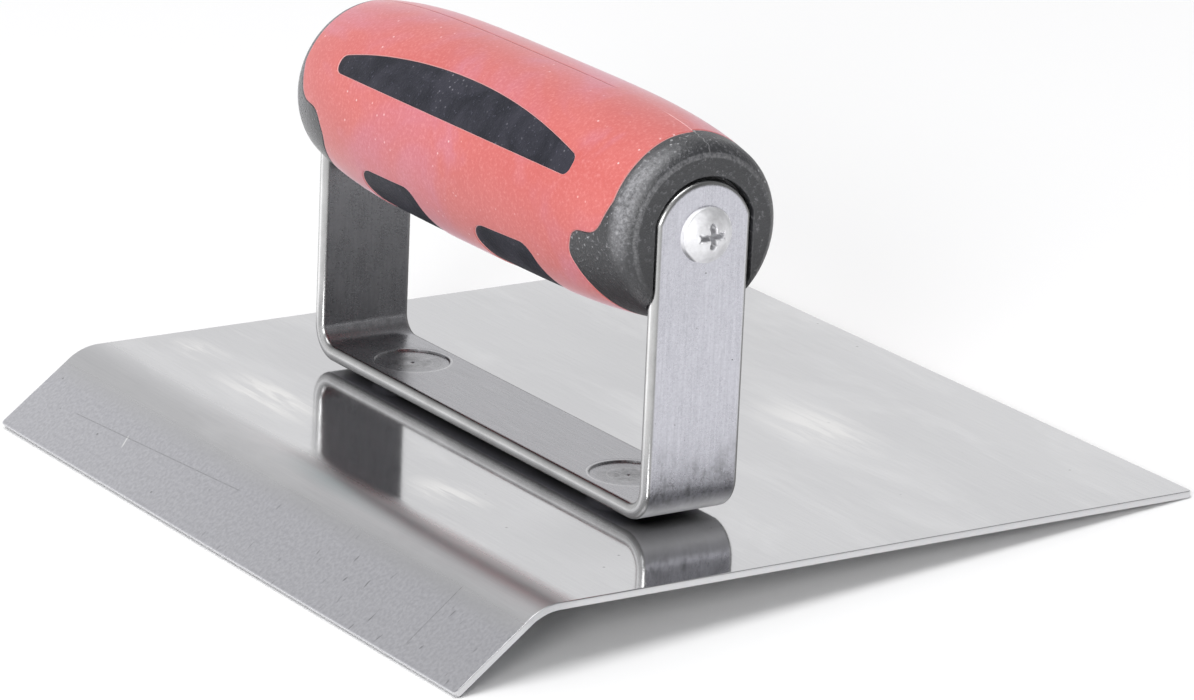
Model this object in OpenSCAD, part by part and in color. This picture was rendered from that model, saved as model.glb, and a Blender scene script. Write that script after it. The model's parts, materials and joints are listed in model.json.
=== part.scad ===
// Plastering hand trowel: a flat steel blade with one long edge bent down, a strap
// bracket spot-welded on top of it and a two-colour moulded grip between its legs.
// Millimetres, Z up. X runs from the bent edge to the far edge and Y runs along the grip.
// The tool stands as it rests on a table: on the lip's lower edge and the far edge.

/* [Blade] */
// Length of the blade, along the grip
blade_len = 152.4; // [130:0.1:200]
// Distance from the fold line to the grip's line
fold_x = 42.35; // [30:0.05:70]
// Distance from the grip's line to the far edge
far_x = 87.65; // [40:0.05:120]
// Thickness of the sheet
blade_t = 1.25; // [0.9:0.05:2]
// Length of the lip, from the fold line to its edge
lip_len = 20; // [12:0.5:35]
// Angle the lip is bent down
lip_angle = 37; // [20:1:50]
// Outer radius of the fold
fold_r = 10; // [4:0.5:14]

/* [Bracket] */
// Width of the strap
strap_w = 18; // [14:0.1:19]
// Thickness of the strap
strap_t = 2.75; // [2:0.05:3]
// Gap between the strap and the blade, kept by the bosses under the welds
strap_gap = 1.1; // [0.2:0.1:2]
// Rounding of the strap's long edges
strap_edge_r = 0.9; // [0.4:0.1:0.95]
// Radius of the arc at the end of each leg
tip_r = 9.5; // [9:0.1:12]
// How far the arc's centre lies below the screw
tip_drop = 0.55; // [0:0.05:1.5]
// Distance across the legs' outer faces
bracket_span = 106.8; // [100:0.1:115]
// How far the bracket sits off the blade's middle
bracket_y = -1.3; // [-5:0.05:5]
// Inner radius of the two bends
bend_r = 3.25; // [1.5:0.25:6]
// Height of the grip's axis above the blade
grip_z = 49.95; // [44:0.05:60]
// Radius of the round marks that the weld leaves
weld_mark_r = 6.7; // [4:0.1:7.5]
// Distance between the two welds
weld_pitch = 69.1; // [40:0.1:76]

/* [Grip] */
// Radius of the grip in the middle
grip_mid_r = 17.85; // [16:0.05:20]
// Radius of the grip where its ends would be without their rounding
grip_end_r = 14.55; // [14:0.05:16]
// Rounding of the end caps' rims
cap_rim_r = 4.2; // [2.5:0.1:5]
// How far the end caps' flat faces cut into that rounding
face_cut = 0.45; // [0.1:0.05:1]
// Thickness of the soft sleeve
sleeve_t = 2.6; // [1.5:0.1:3.5]
// Length of the soft sleeve
sleeve_len = 98.3; // [90:0.1:100]
// How far the sleeve and its windows sit off the grip's middle
sleeve_shift = 1.15; // [-1.2:0.05:1.2]
// Depth of the core's pads below the sleeve's surface
pad_drop = 0.15; // [0:0.05:0.5]
// Room around the strap's tip in the end cap
tip_gap = 0.5; // [0.2:0.1:1]

/* [Screws] */
// Radius of the screw's head
head_r = 4.75; // [4:0.05:5.5]
// Height of the screw's head
head_h = 2.3; // [2:0.1:3]
// Outer radius of the screw's thread
thread_r = 2.4; // [2:0.1:2.8]
// Length of the screw under its head
screw_len = 25; // [16:1:32]

/* [Hidden] */
$fn = 96;

// The fold's straight parts start this far from the fold line.
fold_run = fold_r * tan(lip_angle / 2);
lip_flat = lip_len - fold_run;
// The lip's lower corner and the far edge's lower corner both touch the table.
toe_x = -fold_x - lip_len * cos(lip_angle) + blade_t * sin(lip_angle);
toe_z = -lip_len * sin(lip_angle) - blade_t * cos(lip_angle);
rest_tilt = atan((-blade_t - toe_z) / (far_x - toe_x));
rest_lift = far_x * sin(rest_tilt) + blade_t * cos(rest_tilt);
tip_x = -fold_x - lip_len * cos(lip_angle);
tip_z = -lip_len * sin(lip_angle);
rest_low_x = tip_x * cos(rest_tilt) + tip_z * sin(rest_tilt);
rest_shift = -(rest_low_x + far_x * cos(rest_tilt)) / 2;

leg_top = strap_t + bend_r;
base_half = bracket_span / 2 - leg_top;
leg_len = grip_z - strap_gap;
disc_extra = 0.05;
boss_r = 5.2;
nugget_r = 3;
nugget_down = 0.6;
nugget_up = 1;
mark_d = 0.4;
screw_hole_r = thread_r + 0.25;

grip_half = bracket_span / 2 + 0.1;
core_half = grip_half - 9.2;
spigot_r = 7;
spigot_len = 1.4;
sleeve_front = sleeve_shift - sleeve_len / 2;
sleeve_rear = sleeve_shift + sleeve_len / 2;
big = 80;

// The points of a polygon with each corner rounded to its own radius.
function unit(v) = v / norm(v);
function corner(a, p, b, r, steps = 5) =
    let (
        u = unit(a - p),
        v = unit(b - p),
        half = acos(u * v) / 2,
        centre = p + unit(u + v) * r / sin(half),
        from = p + u * r / tan(half) - centre,
        to = p + v * r / tan(half) - centre
    )
    [for (i = [0:steps]) centre + r * unit(from * (steps - i) + to * i)];
function rounded(points, radii) =
    let (n = len(points))
    [for (i = [0:n - 1]) each corner(points[(i + n - 1) % n], points[i], points[(i + 1) % n], radii[i])];

// Puts a shape built on the blade's top plane into the pose in which the tool rests.
module at_rest() {
    translate([rest_shift, 0, rest_lift]) rotate([0, rest_tilt, 0]) children();
}

// Puts a shape built along Z onto the grip's axis, with Z along +Y.
module on_grip() {
    translate([0, bracket_y, grip_z]) rotate([-90, 0, 0]) children();
}

module at_welds() {
    for (side = [-1, 1]) translate([0, bracket_y + side * weld_pitch / 2, 0]) children();
}

// Blade -----------------------------------------------------------------------

module blade_sheet() {
    flat_x = -fold_x + fold_run;
    translate([flat_x, -blade_len / 2, -blade_t]) cube([far_x - flat_x, blade_len, blade_t]);
    translate([flat_x, blade_len / 2, -fold_r]) rotate([90, 0, 0]) rotate([0, 0, 90])
        rotate_extrude(angle = lip_angle) translate([fold_r - blade_t, 0]) square([blade_t, blade_len]);
    translate([flat_x, -blade_len / 2, -fold_r]) rotate([0, -lip_angle, 0])
        translate([-lip_flat, 0, fold_r - blade_t]) cube([lip_flat, blade_len, blade_t]);
}

module blade() {
    color("lightgray") at_rest() difference() {
        blade_sheet();
        at_welds() translate([0, 0, -nugget_down]) cylinder(r = nugget_r, h = nugget_down + 1);
    }
}

module spot_welds() {
    color("gray") at_rest() at_welds()
        translate([0, 0, -nugget_down]) cylinder(r = nugget_r, h = nugget_down + strap_gap + nugget_up);
}

// Bracket ---------------------------------------------------------------------

// The strap's section, with its outer face on X = 0 and its inner face on X = -strap_t.
module strap_section() {
    w = strap_w / 2;
    polygon(rounded([[-strap_t, -w], [0, -w], [0, w], [-strap_t, w]], [for (i = [0:3]) strap_edge_r]));
}

// Half the section of the disc that rounds a leg's end. It is a little thicker than the strap on both sides.
module disc_half_section() {
    low = -disc_extra;
    high = strap_t + disc_extra;
    lower = corner([0, low], [tip_r, low], [tip_r, high], strap_edge_r);
    upper = corner([tip_r, low], [tip_r, high], [0, high], strap_edge_r);
    polygon(concat([[0, low]], lower, upper, [[0, high]]));
}

// One leg on the +Y side, with half of the base and the bend between them. The base's underside is on Z = 0.
module strap_side() {
    tip_z0 = leg_len - tip_drop;
    translate([0, bracket_span / 2, leg_top]) rotate([0, 0, 90])
        linear_extrude(tip_z0 - leg_top) strap_section();
    translate([0, base_half, leg_top]) rotate([0, 90, 0])
        rotate_extrude(angle = 90) translate([leg_top, 0]) strap_section();
    translate([0, base_half, 0]) rotate([90, 0, 0]) rotate([0, 0, -90])
        linear_extrude(base_half) strap_section();
    intersection() {
        translate([0, bracket_span / 2 - strap_t, tip_z0]) rotate([-90, 0, 0])
            rotate_extrude() disc_half_section();
        translate([0, bracket_span / 2, tip_z0]) rotate([0, 0, 90]) linear_extrude(tip_r + 1) strap_section();
    }
}

module bracket() {
    color("silver") at_rest() difference() {
        union() {
            translate([0, bracket_y, strap_gap]) {
                strap_side();
                mirror([0, 1, 0]) strap_side();
            }
            at_welds() cylinder(r = boss_r, h = strap_gap + 1);
        }
        on_grip() cylinder(r = screw_hole_r, h = bracket_span + 10, center = true);
        at_welds() translate([0, 0, -1]) cylinder(r = nugget_r, h = strap_gap + nugget_up + 1);
        at_welds() translate([0, 0, strap_gap + strap_t - mark_d]) cylinder(r = weld_mark_r, h = 2);
    }
}

// Screws ----------------------------------------------------------------------

// Round-head tapping screw. Its head stands on Z = 0 and its thread points to +Z.
module tapping_screw() {
    root_r = thread_r - 0.6;
    pitch = 1.8;
    rim = 0.4;
    dome_h = head_h - rim;
    dome_r = (head_r * head_r + dome_h * dome_h) / (2 * dome_h);
    dome_angle = asin(head_r / dome_r);
    dome = [for (i = [0:8]) let (a = dome_angle * i / 8) [dome_r * sin(a), dome_r * (1 - cos(a)) - head_h]];
    turns = floor((screw_len - 5) / pitch);
    ridges = [for (i = [0:turns - 1]) each [
        [root_r, 2 + i * pitch], [thread_r, 2 + (i + 0.35) * pitch],
        [thread_r, 2 + (i + 0.45) * pitch], [root_r, 2 + (i + 0.8) * pitch]
    ]];
    shank = concat([[head_r, 0], [thread_r, 0]], ridges, [[root_r, screw_len - 2.5], [0, screw_len]]);
    difference() {
        rotate_extrude() polygon(concat(dome, shank));
        for (turn = [8, 98]) rotate([0, 0, turn]) translate([-2.4, -0.5, -head_h - 1]) cube([4.8, 1, 2.5]);
    }
}

module handle_screws() {
    color("gainsboro") at_rest() on_grip() for (turn = [0, 180]) rotate([turn, 0, 0])
        translate([0, 0, -bracket_span / 2]) tapping_screw();
}

// Grip ------------------------------------------------------------------------
// Inside this section Z runs along the grip and X, Y go round it: -Y is up.

function barrel_r(z) = grip_mid_r - (grip_mid_r - grip_end_r) * pow(abs(z) / grip_half, 4);

// The whole barrel, square at the ends, with its surface moved in by inset.
module barrel(inset) {
    steps = 28;
    side = [for (i = [0:steps]) let (z = grip_half * (2 * i / steps - 1)) [barrel_r(z) - inset, z]];
    rotate_extrude() polygon(concat([[0, -grip_half]], side, [[0, grip_half]]));
}

// The same barrel with its rims rounded and its ends cut flat just inside the rims.
module grip_blank() {
    steps = 28;
    straight = grip_half - cap_rim_r;
    rim = barrel_r(straight) - cap_rim_r;
    crest = asin((cap_rim_r - face_cut) / cap_rim_r);
    arc = [for (i = [1:8]) let (a = crest * i / 8) [rim + cap_rim_r * cos(a), straight + cap_rim_r * sin(a)]];
    side = [for (i = [0:steps]) let (z = straight * (2 * i / steps - 1)) [barrel_r(z), z]];
    face = grip_half - face_cut;
    rotate_extrude() polygon(concat(
        [[0, -face]], [for (i = [len(arc) - 1:-1:0]) [arc[i][0], -arc[i][1]]], side, arc, [[0, face]]
    ));
}

module slice(from, to) {
    translate([-big / 2, -big / 2, from]) cube([big, big, to - from]);
}

// A prism that leaves the axis at an angle counted down from the top, with its mirror image.
// The outline's X is the way up round the grip and its Y is the way along it.
module radial_prisms(turn) {
    for (side = [0, 1]) mirror([side, 0, 0]) rotate([0, 0, -turn]) rotate([90, 0, 0])
        linear_extrude(big / 2) children();
}

// Long windows for the palm, one on each side: straight below and arched above.
module palm_windows() {
    arch = [for (i = [0:12]) let (t = i / 6 - 1) [4.25 - 4.9 * t * t - 0.25 * t, 36.8 * t]];
    outline = concat([[-4.05, -36.8]], arch, [[-4.05, 36.8]]);
    radii = concat([1.5, 1.5], [for (i = [1:11]) 2], [1.5, 1.5]);
    radial_prisms(52) translate([0, sleeve_shift]) polygon(rounded(outline, radii));
}

// Short windows for the fingertips, two on each side and low down.
module finger_windows() {
    outline = [[7, -8.4], [6.4, 10.4], [-7.4, 10.4], [-7.4, -11.2]];
    for (end = [-1, 1]) radial_prisms(137) translate([0, sleeve_shift + end * 18.3])
        polygon(rounded(outline, [2.6, 5.4, 4, 4]));
}

// An end cap's two tongues, one on each side: one outline cut right through the grip.
module tongues(end) {
    root = sleeve_len / 2;
    outline = [
        [root + 1, 6], [root, 6], [root - 2.4, -0.1], [root - 8.3, -0.6],
        [root - 9.8, -5], [root - 4.8, -14.6], [root, -17.5], [root + 1, -17.5]
    ];
    points = [for (p = rounded(outline, [0.2, 0.2, 3.5, 2.6, 3, 4, 0.5, 0.2])) [-p[1], end * p[0]]];
    translate([0, 0, sleeve_shift]) rotate([0, -90, 0]) rotate([0, 0, 90]) mirror([0, 1])
        linear_extrude(big, center = true) polygon(points);
}

module grip_core() {
    color([0.16, 0.16, 0.19]) at_rest() on_grip() difference() {
        union() {
            intersection() {
                barrel(sleeve_t);
                slice(-core_half, core_half);
            }
            intersection() {
                barrel(pad_drop);
                slice(-core_half, core_half);
                union() {
                    palm_windows();
                    finger_windows();
                }
            }
            cylinder(r = spigot_r, h = 2 * (core_half + spigot_len), center = true);
        }
        for (turn = [0, 180]) rotate([turn, 0, 0])
            translate([0, 0, screw_len - bracket_span / 2 + 1 - big]) cylinder(r = thread_r, h = big);
    }
}

module grip_sleeve() {
    color([0.87, 0.36, 0.33]) at_rest() on_grip() difference() {
        intersection() {
            barrel(0);
            slice(sleeve_front, sleeve_rear);
        }
        barrel(sleeve_t);
        palm_windows();
        finger_windows();
        tongues(-1);
        tongues(1);
    }
}

// The end cap on one side: a rounded rim, a neck under the sleeve and two tongues.
module end_cap(end) {
    edge = end > 0 ? sleeve_rear : -sleeve_front;
    room = strap_w / 2 + tip_gap;
    seat = bracket_span / 2 - strap_t;
    difference() {
        union() {
            intersection() {
                grip_blank();
                mirror([0, 0, end > 0 ? 0 : 1]) slice(edge, big);
            }
            intersection() {
                barrel(sleeve_t);
                mirror([0, 0, end > 0 ? 0 : 1]) slice(core_half, edge + 0.01);
            }
            intersection() {
                difference() {
                    barrel(0);
                    barrel(sleeve_t);
                }
                mirror([0, 0, end > 0 ? 0 : 1]) slice(edge - 12, edge + 0.01);
                tongues(end);
            }
        }
        mirror([0, 0, end > 0 ? 0 : 1]) {
            intersection() {
                translate([0, tip_drop, seat]) cylinder(r = tip_r + tip_gap, h = big);
                translate([-room, -big / 2, seat]) cube([2 * room, big, big]);
            }
            translate([-room, tip_drop, seat]) cube([2 * room, big, big]);
            cylinder(r = screw_hole_r, h = big);
            translate([0, 0, core_half - 1]) cylinder(r = spigot_r, h = spigot_len + 1);
        }
    }
}

module end_cap_front() {
    color([0.27, 0.27, 0.29]) at_rest() on_grip() end_cap(-1);
}

module end_cap_rear() {
    color([0.27, 0.27, 0.29]) at_rest() on_grip() end_cap(1);
}

blade();
bracket();
spot_welds();
handle_screws();
grip_core();
grip_sleeve();
end_cap_front();
end_cap_rear();
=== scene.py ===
"""Looks of a plastering hand trowel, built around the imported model.

Every building function works in millimetres in the tool's own frame: the origin is on the blade's top
plane, X runs from the bent edge to the far edge, Y along the grip and Z up from the blade.
"""
import json
import math

import bmesh
import bpy
import numpy as np
from mathutils import Matrix, Vector, geometry


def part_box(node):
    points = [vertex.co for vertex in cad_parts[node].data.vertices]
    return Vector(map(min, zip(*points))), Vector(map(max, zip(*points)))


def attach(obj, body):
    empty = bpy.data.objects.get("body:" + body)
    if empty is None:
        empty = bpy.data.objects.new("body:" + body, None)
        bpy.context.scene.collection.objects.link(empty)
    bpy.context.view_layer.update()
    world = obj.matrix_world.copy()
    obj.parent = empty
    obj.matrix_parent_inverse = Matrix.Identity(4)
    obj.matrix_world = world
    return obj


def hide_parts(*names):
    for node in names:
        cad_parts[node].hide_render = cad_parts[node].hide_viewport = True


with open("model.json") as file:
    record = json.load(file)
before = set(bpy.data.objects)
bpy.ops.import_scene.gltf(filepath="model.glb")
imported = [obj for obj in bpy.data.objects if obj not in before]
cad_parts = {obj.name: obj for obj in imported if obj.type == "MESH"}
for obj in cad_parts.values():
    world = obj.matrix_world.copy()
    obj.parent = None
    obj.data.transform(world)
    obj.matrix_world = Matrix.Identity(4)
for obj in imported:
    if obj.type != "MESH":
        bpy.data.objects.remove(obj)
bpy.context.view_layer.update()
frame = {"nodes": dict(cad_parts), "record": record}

MM = 0.001

# Sizes of the CAD model ------------------------

BLADE_T = 1.25
FOLD_X = 42.35
LIP_LEN = 20.0
LIP_ANGLE = math.radians(37)
FOLD_R = 10.0

STRAP_W = 18.0
STRAP_T = 2.75
STRAP_GAP = 1.1
STRAP_EDGE_R = 0.9
TIP_R = 9.5
TIP_DROP = 0.55
BEND_R = 3.25
MARK_R = 6.7
MARK_DEPTH = 0.4
BOSS_R = 5.2
WELD_PITCH = 69.1

GRIP_MID_R = 17.85
GRIP_END_R = 14.55
CAP_RIM_R = 4.2
CAP_PROUD = 0.1
FACE_CUT = 0.45
CREST_R = 0.6
SLEEVE_T = 2.6
SLEEVE_LEN = 98.3
SLEEVE_SHIFT = 1.15
PAD_DROP = 0.15
TIP_GAP = 0.5
RECESS_OFF = 0.22
CORE_END = 9.2
SPIGOT_R = 7.0
SPIGOT_LEN = 1.4

HEAD_R = 4.75
HEAD_H = 2.3
HEAD_RIM = 0.4
HEAD_OFF = 0.28
THREAD_R = 2.4
THREAD_ROOT_R = 1.8
THREAD_PITCH = 1.8
SCREW_LEN = 25.0
HOLE_R = THREAD_R + 0.25

# The tool's frame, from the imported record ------

mounts = {m["name"]: m for m in frame["record"]["mounts"]}
UP = -Vector(mounts["working_face"]["axis"])
ALONG = Vector((0, 1, 0))
ACROSS = ALONG.cross(UP)
GRIP_AT = Vector(mounts["grip"]["pos_m"])
GRIP_Z = (GRIP_AT - Vector(mounts["working_face"]["pos_m"])).dot(UP) / MM - BLADE_T
BRACKET_Y = GRIP_AT.y / MM
ORIGIN = GRIP_AT - UP * GRIP_Z * MM - ALONG * BRACKET_Y * MM
TURN_TO_ROW = Matrix((ACROSS, ALONG, UP)).transposed().to_4x4()
TO_ROW = Matrix.Translation(ORIGIN) @ TURN_TO_ROW @ Matrix.Scale(MM, 4)

blade_low, blade_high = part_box("blade")
BLADE_LEN = (blade_high.y - blade_low.y) / MM
FAR_X = (blade_high.x - ORIGIN.x) / ACROSS.x / MM
bracket_low, bracket_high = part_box("bracket")
SPAN = (bracket_high.y - bracket_low.y) / MM

LEG_TOP = STRAP_T + BEND_R
GRIP_HALF = SPAN / 2 + CAP_PROUD
SEAT = SPAN / 2 - STRAP_T
CORE_HALF = GRIP_HALF - CORE_END
SPIGOT_END = CORE_HALF + SPIGOT_LEN


# Outlines --------------------------------------

def unit(v):
    return v / np.linalg.norm(v)


def rounded(points, radii, closed=True):
    """The points of a polygon with each corner rounded to its own radius."""
    points = [np.array(p, float) for p in points]
    count = len(points)
    found = []
    for i, (p, r) in enumerate(zip(points, radii)):
        if r == 0 or (not closed and i in (0, count - 1)):
            found.append(p)
            continue
        u = unit(points[i - 1] - p)
        v = unit(points[(i + 1) % count] - p)
        half = math.acos(float(u @ v)) / 2
        centre = p + unit(u + v) * r / math.sin(half)
        first = p + u * r / math.tan(half) - centre
        last = p + v * r / math.tan(half) - centre
        found += [centre + r * unit(first * (1 - t) + last * t) for t in np.linspace(0, 1, 7)]
    return np.array(found)


def resampled(chain, step, closed=False):
    """The same chain with points at even distances along it."""
    chain = np.array(chain, float)
    if closed:
        chain = np.vstack([chain, chain[:1]])
    along = np.concatenate([[0], np.cumsum(np.linalg.norm(np.diff(chain, axis=0), axis=1))])
    count = max(3, round(along[-1] / step))
    wanted = np.linspace(0, along[-1], count + 1)
    even = np.column_stack([np.interp(wanted, along, chain[:, k]) for k in range(2)])
    return even[:-1] if closed else even


def turned(chain, hole=False):
    """A closed chain with the material on its left: anticlockwise outside and clockwise round a hole."""
    x, y = chain[:, 0], chain[:, 1]
    area = float(np.sum(x * np.roll(y, -1) - np.roll(x, -1) * y))
    return chain[::-1] if (area > 0) == hole else chain


def offset(chain, distance):
    """A closed chain moved to its left by a distance."""
    run = np.roll(chain, -1, axis=0) - np.roll(chain, 1, axis=0)
    left = np.column_stack([-run[:, 1], run[:, 0]]) / np.linalg.norm(run, axis=1)[:, None]
    return chain + left * distance


def circle(centre, r, count):
    angles = np.arange(count) * 2 * math.pi / count
    return np.column_stack([centre[0] + r * np.cos(angles), centre[1] + r * np.sin(angles)])


def lattice(us, vs):
    return np.array([(u, v) for v in vs for u in us], float)


def spread(low, high, step):
    return np.linspace(low, high, max(2, math.ceil((high - low) / step) + 1))


def inside(points, loops):
    """Which points lie inside an odd number of the loops."""
    odd = np.zeros(len(points), bool)
    for loop in loops:
        for a, b in zip(loop, np.roll(loop, -1, axis=0)):
            if a[1] == b[1]:
                continue
            crosses = (a[1] > points[:, 1]) != (b[1] > points[:, 1])
            at = a[0] + (points[:, 1] - a[1]) * (b[0] - a[0]) / (b[1] - a[1])
            odd ^= crosses & (points[:, 0] < at)
    return odd


# Solids ----------------------------------------

FLAT_MARGIN = 0.12
SHARP_ANGLE = math.radians(35)


class Solid:
    """The points and faces of one piece. Each point keeps its place on the surface for the materials.

    While thick is set, the depth that points keep is counted from the sheet's other face.
    """

    def __init__(self):
        self.points = []
        self.marks = []
        self.faces = []
        self.thick = None

    def ring(self, place, chain, depth=0.0):
        """Points along a chain on the surface that place() describes, at a depth under it."""
        depths = np.broadcast_to(depth, len(chain))
        start = len(self.points)
        for (u, v), d in zip(chain, depths):
            self.points.append(place(u, v, d))
            self.marks.append((u, v, d if self.thick is None else self.thick - d))
        return list(range(start, len(self.points)))

    def bridge(self, a, b, closed=True):
        """A band of four-sided faces between two rings."""
        count = len(a)
        for i in range(count if closed else count - 1):
            j = (i + 1) % count
            self.faces.append((a[i], a[j], b[j], b[i]))

    def rounded_edge(self, place, chain, radius, closed=True, depth=0.0, steps=4):
        """Rounds the edge along a chain. Returns the wall's top ring, and the surface ring with its chain.

        A narrow band past the rounding keeps the shading of the surface inside it true.
        """
        ahead = np.roll(chain, -1, axis=0)
        behind = np.roll(chain, 1, axis=0)
        if not closed:
            ahead[-1], behind[0] = chain[-1], chain[0]
        run = ahead - behind
        left = np.column_stack([-run[:, 1], run[:, 0]])
        left /= np.linalg.norm(left, axis=1)[:, None]
        if not closed:
            left[0] = (0, math.copysign(1, left[0][1]))
            left[-1] = (0, math.copysign(1, left[-1][1]))
        radius = np.broadcast_to(radius, len(chain))
        rings = []
        for angle in np.linspace(0, math.pi / 2, steps + 1):
            moved = chain + left * (radius * (1 - math.cos(angle)))[:, None]
            rings.append(self.ring(place, moved, depth + radius * (1 - math.sin(angle))))
            if len(rings) > 1:
                self.bridge(rings[-2], rings[-1], closed)
        moved = moved + left * FLAT_MARGIN
        rings.append(self.ring(place, moved, depth))
        self.bridge(rings[-2], rings[-1], closed)
        return rings[0], (moved, rings[-1])

    def fill(self, place, loops, grid, depth=0.0, clear=0.5):
        """Triangles inside the loops, each a chain and its ring, through the grid's points there."""
        edges = []
        chains = [chain for chain, _ in loops]
        border = np.vstack(chains)
        for chain in chains:
            start = len(edges)
            edges += [(start + i, start + (i + 1) % len(chain)) for i in range(len(chain))]
        grid = [p for p in grid[inside(grid, chains)] if np.min(np.hypot(*(border - p).T)) > clear]
        indices = [i for _, ring in loops for i in ring] + self.ring(place, grid, depth)
        flat = [Vector(p) for p in [*border, *grid]]
        corners, _, faces, origins, _, _ = geometry.delaunay_2d_cdt(flat, edges, [], 0, 1e-6)
        names = []
        for corner, origin in zip(corners, origins):
            names.append(indices[origin[0]] if origin else self.ring(place, [tuple(corner)], depth)[0])
        middles = np.array([sum((corners[i] for i in face), Vector((0, 0))) / len(face) for face in faces])
        kept = inside(middles, chains)
        self.faces += [tuple(names[i] for i in face) for face, keep in zip(faces, kept) if keep]

    def finish(self, name, slot, node, material):
        """Makes the object, which stands for a CAD node and rides on the one body."""
        mesh = bpy.data.meshes.new(name)
        mesh.from_pydata([TO_ROW @ Vector(p) for p in self.points], [], self.faces)
        surface = mesh.attributes.new("surface", "FLOAT_VECTOR", "POINT")
        surface.data.foreach_set("vector", (np.array(self.marks, np.float32) * MM).ravel())
        weld(mesh)
        mesh.shade_smooth()
        mesh.set_sharp_from_angle(angle=SHARP_ANGLE)
        mesh.materials.append(material)
        piece = in_scene(name, mesh)
        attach(piece, "root")
        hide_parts(node)
        return piece


def in_scene(name, data):
    """A new object in the scene."""
    made = bpy.data.objects.new(name, data)
    bpy.context.scene.collection.objects.link(made)
    return made


def weld(mesh):
    """Joins points that coincide, drops faces with no area and turns all faces outwards."""
    distance = 0.004 * MM
    work = bmesh.new()
    work.from_mesh(mesh)
    bmesh.ops.remove_doubles(work, verts=work.verts, dist=distance)
    bmesh.ops.dissolve_degenerate(work, edges=work.edges, dist=distance / 4)
    bmesh.ops.recalc_face_normals(work, faces=work.faces)
    work.to_mesh(mesh)
    work.free()


# Blade -----------------------------------------

FLAT_END = -FOLD_X + FOLD_R * math.tan(LIP_ANGLE / 2)
FOLD_ARC = FOLD_R * LIP_ANGLE
LIP_FLAT = LIP_LEN - FOLD_R * math.tan(LIP_ANGLE / 2)


def on_blade(a, y, depth):
    """The blade's top surface: a is x on the flat part and goes on along the fold and the lip."""
    turn = min(max(FLAT_END - a, 0) / FOLD_R, LIP_ANGLE)
    past = max(FLAT_END - a - FOLD_ARC, 0)
    r = FOLD_R - depth
    x = max(a, FLAT_END) - r * math.sin(turn) - past * math.cos(turn)
    z = -FOLD_R + r * math.cos(turn) - past * math.sin(turn)
    return x, y, z


def blade(material):
    edge_r = 0.14
    corner = 0.7
    low = FLAT_END - FOLD_ARC - LIP_FLAT
    half = BLADE_LEN / 2
    fold = spread(FLAT_END - FOLD_ARC - 0.4, FLAT_END + 0.4, 0.4)
    columns = np.concatenate([spread(low, fold[0], 4)[:-1], fold, spread(fold[-1], FAR_X, 4)[1:]])
    rows = spread(-half, half, 4)
    inner = columns[(columns > low + corner) & (columns < FAR_X - corner)]
    sides = rows[1:-1]
    outline = [(a, -half) for a in inner] + arc_corner(FAR_X, -half, corner, -90)
    outline += [(FAR_X, y) for y in sides] + arc_corner(FAR_X, half, corner, 0)
    outline += [(a, half) for a in inner[::-1]] + arc_corner(low, half, corner, 90)
    outline += [(low, y) for y in sides[::-1]] + arc_corner(low, -half, corner, 180)
    chain = turned(np.array(outline, float))
    grid = lattice(columns, rows)
    solid = Solid()

    def below(a, y, depth):
        return on_blade(a, y, BLADE_T - depth)

    top_wall, top = solid.rounded_edge(on_blade, chain, edge_r, steps=2)
    solid.fill(on_blade, [top], grid)
    low_wall, bottom = solid.rounded_edge(below, chain, edge_r, steps=2)
    solid.fill(below, [bottom], grid)
    solid.bridge(top_wall, low_wall)
    return solid.finish("blade_sheet", "blade_steel", "blade", material)


def arc_corner(x, y, r, start):
    """A quarter circle inside the corner at x, y, from a starting angle in degrees."""
    cx = x - math.copysign(r, x)
    cy = y - math.copysign(r, y)
    angles = np.radians(np.linspace(start, start + 90, 5))
    return [(cx + r * math.cos(t), cy + r * math.sin(t)) for t in angles]


# Bracket ---------------------------------------

BASE_HALF = SPAN / 2 - LEG_TOP
BEND_ARC = LEG_TOP * math.pi / 2
TIP_AT = BASE_HALF + BEND_ARC + GRIP_Z - STRAP_GAP - LEG_TOP


def on_strap(w, s, depth):
    """The strap's outer surface: s runs along it from the middle of the base."""
    run = abs(s)
    turn = min(max(run - BASE_HALF, 0) / LEG_TOP, math.pi / 2)
    rise = max(run - BASE_HALF - BEND_ARC, 0)
    r = LEG_TOP - depth
    y = min(run, BASE_HALF) + r * math.sin(turn)
    z = STRAP_GAP + LEG_TOP - r * math.cos(turn) + rise
    return w, BRACKET_Y + math.copysign(y, s), z


def pressed_in(w, s):
    """How far the electrode pressed the base's top in: a steep wall, a drawn-in edge and a dot."""
    r = math.hypot(w, abs(s) - WELD_PITCH / 2)
    wall = (MARK_DEPTH - 0.08) * (1 - smooth(MARK_R - 0.22, MARK_R, r))
    drawn = 0.08 * (1 - smooth(MARK_R - 0.1, MARK_R + 0.9, r))
    dish = 0.05 * (1 - smooth(0, 4.5, r))
    dot = 0.2 * math.exp(-(r / 0.28) ** 2)
    return wall + drawn + dish + dot


def pressed_out(w, s):
    """How far the bosses under the welds stand out of the base's underside, down to the blade."""
    r = math.hypot(w, abs(s) - WELD_PITCH / 2)
    return STRAP_GAP * (1 - smooth(BOSS_R, BOSS_R + 1.8, r))


def smooth(low, high, x):
    t = min(max((x - low) / (high - low), 0), 1)
    return t * t * (3 - 2 * t)


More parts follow.
